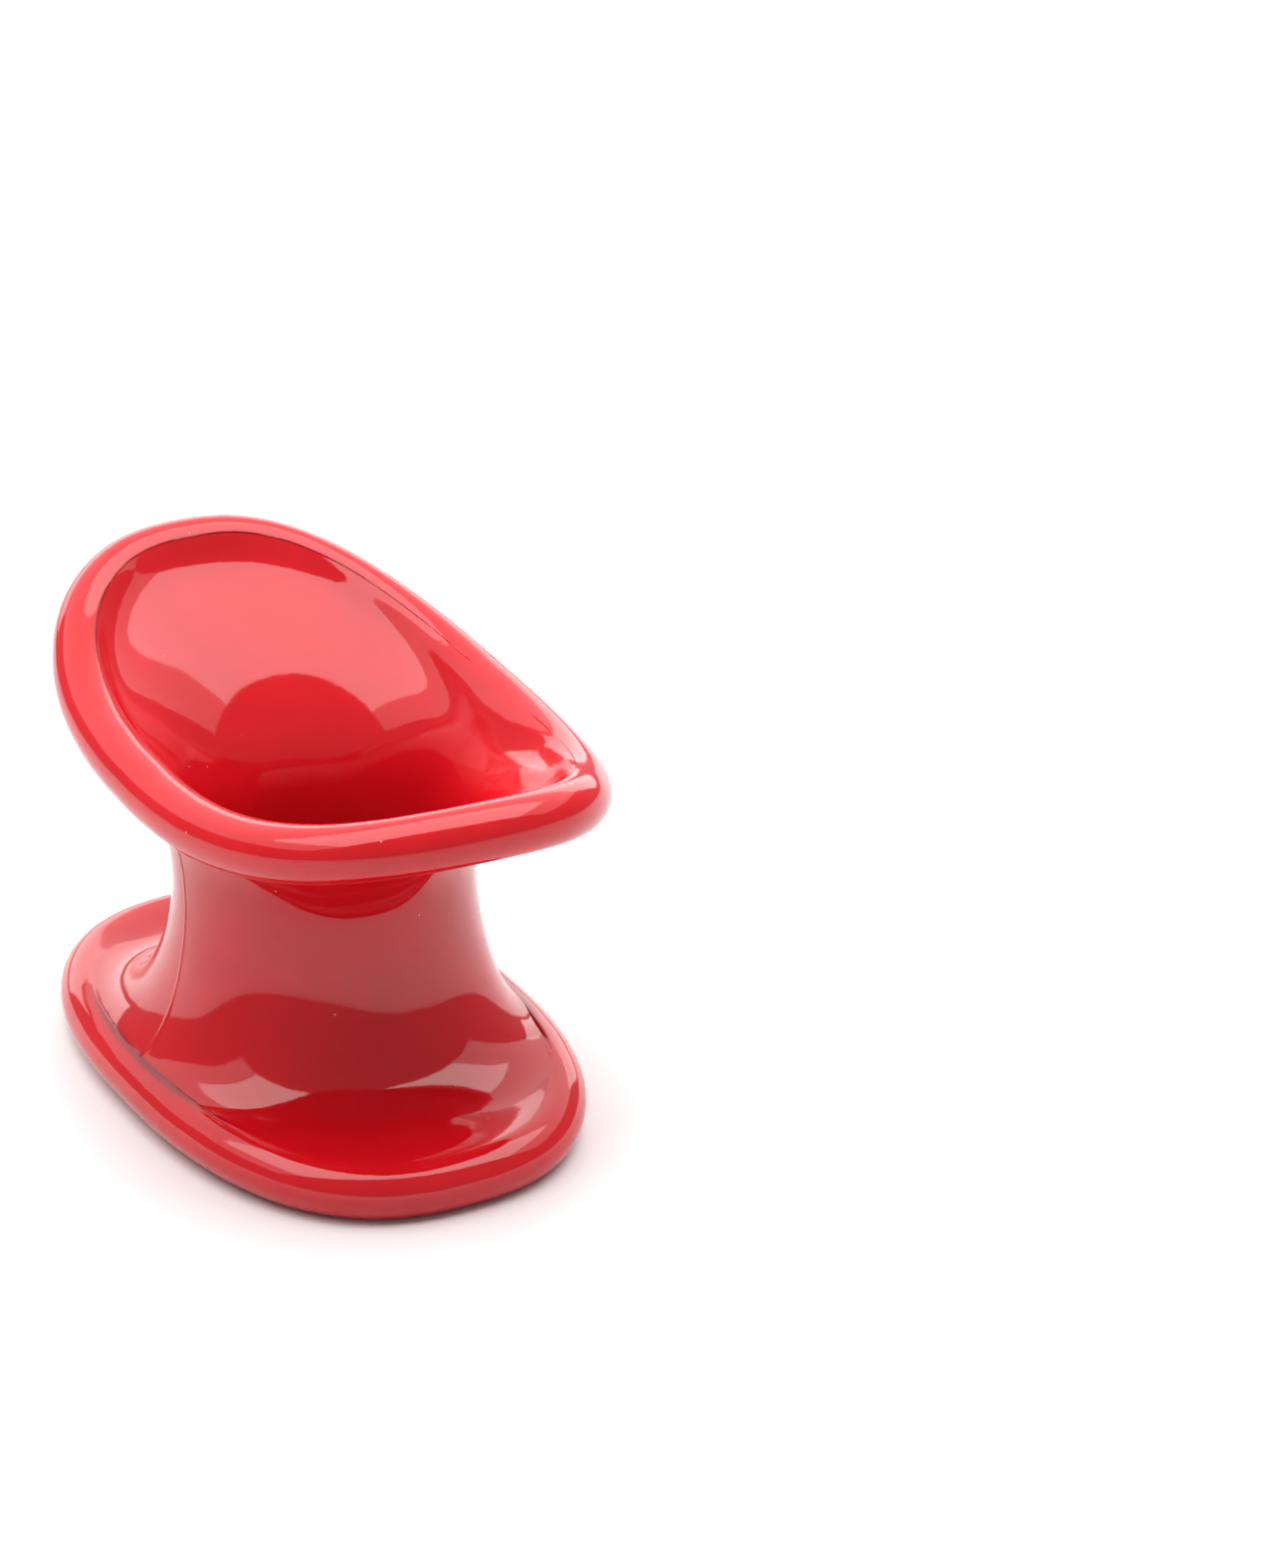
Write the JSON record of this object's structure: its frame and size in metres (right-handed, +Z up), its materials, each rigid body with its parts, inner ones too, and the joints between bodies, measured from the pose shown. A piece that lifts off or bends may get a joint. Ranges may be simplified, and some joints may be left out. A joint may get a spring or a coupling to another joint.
{
  "type": "spool sleeve",
  "caption": "Hollow soft spool sleeve: a round open neck with a saddle-shaped, bead-edged flared lip at each end, standing free on its lower lip.",
  "frame": {"origin": "centre of the footprint box, on the plane that the lower bead rests on", "axes": "+Z up along the bore, +X along the lips' long axis, +Y along their short axis"},
  "size_m": [0.1056, 0.0674, 0.0693],
  "materials": {
    "elastomer": "glossy, slightly translucent"
  },
  "bodies": {
    "root": {"sleeve": "elastomer"}
  },
  "joints": []
}
